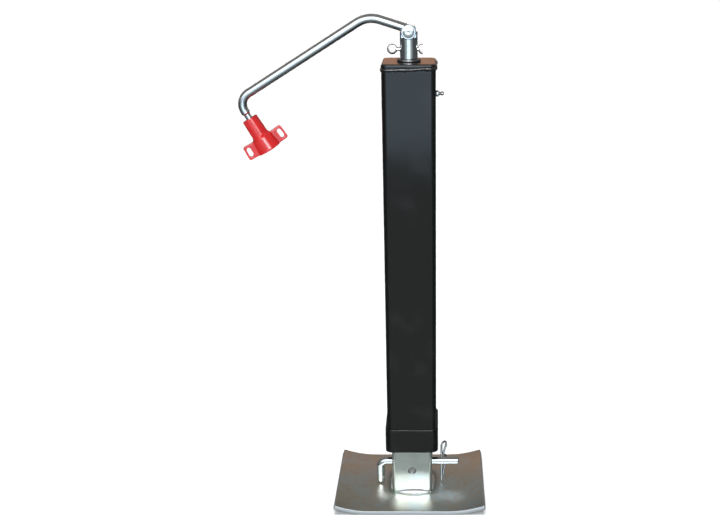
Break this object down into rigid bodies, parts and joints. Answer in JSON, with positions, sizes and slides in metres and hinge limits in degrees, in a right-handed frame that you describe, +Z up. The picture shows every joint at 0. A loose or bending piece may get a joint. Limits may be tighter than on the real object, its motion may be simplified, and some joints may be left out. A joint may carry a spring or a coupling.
{
  "type": "trailer tongue jack",
  "caption": "Square-tube screw jack for a trailer tongue: a folding crank on top turns a screw that slides an inner leg out of a painted outer tube onto a curled foot plate.",
  "frame": {"origin": "underside of the foot plate's flat middle, on the axis of the square tubes", "axes": "+Z up along the tubes, +X to the right as seen with the crank folded down on the left, +Y to the back"},
  "size_m": [0.3603, 0.176, 0.7495],
  "materials": {
    "black_enamel": "glossy black enamel on steel tube",
    "zinc": "bright zinc plating on steel",
    "red_grip": "glossy red moulded plastic",
    "dark_steel": "bare oiled steel",
    "ball_steel": "polished bearing balls",
    "bronze": "cast bronze, greased",
    "slide_plastic": "hard wear-resistant plastic"
  },
  "bodies": {
    "leg_and_foot": {"leg_tube": "dark_steel", "nut_plate": "dark_steel", "lift_nut": "bronze", "leg_guides": "slide_plastic", "foot_socket": "zinc", "foot_plate": "zinc", "foot_weld": "zinc"},
    "outer_body": {"outer_tube": "black_enamel", "top_cap": "black_enamel", "cap_weld": "black_enamel", "lower_collar": "black_enamel", "collar_weld": "black_enamel", "lower_guides": "slide_plastic", "grease_nipple": "zinc", "cap_bushing": "bronze", "upper_race": "dark_steel"},
    "screw_and_socket": {"lift_screw": "dark_steel", "lower_race": "dark_steel", "thrust_balls": "ball_steel", "ball_cage": "bronze", "stop_washer": "dark_steel", "stop_pin": "dark_steel", "socket_washer": "dark_steel", "crank_socket": "zinc", "socket_cotter": "zinc", "pivot_rivet": "zinc"},
    "crank_arm": {"crank_rod": "zinc", "grip_retainer": "zinc"},
    "grip": {"grip": "red_grip"},
    "foot_pin": {"foot_pin": "zinc"},
    "hairpin": {"hairpin": "zinc"}
  },
  "joints": [
    {"name": "leg_extend", "type": "slide", "parent": "leg_and_foot", "child": "outer_body", "axis": [0, 0, 1], "range_m": [0, 0.3794]},
    {"name": "crank_turn", "type": "hinge", "parent": "outer_body", "child": "screw_and_socket", "pos_m": [0, 0, 0.68], "axis": [0, 0, -1], "range_deg": [0, 26880]},
    {"name": "crank_fold", "type": "hinge", "parent": "screw_and_socket", "child": "crank_arm", "pos_m": [0, 0, 0.7255], "axis": [0, 1, 0], "range_deg": [0, 98]},
    {"name": "grip_spin", "type": "hinge", "parent": "crank_arm", "child": "grip", "pos_m": [-0.23036, 0, 0.6024], "axis": [0.509, 0, -0.8607], "continuous": true},
    {"name": "foot_pin_shift", "type": "slide", "parent": "leg_and_foot", "child": "foot_pin", "axis": [1, 0, 0], "range_m": [-0.003, 0.009]},
    {"name": "hairpin_pull", "type": "slide", "parent": "foot_pin", "child": "hairpin", "axis": [0, 0, 1], "range_m": [0, 0.044], "deforming": ["hairpin"]}
  ],
  "couplings": [
    {"joint": "leg_extend", "follows": "crank_turn", "m_per_rad": 0.00080851}
  ]
}
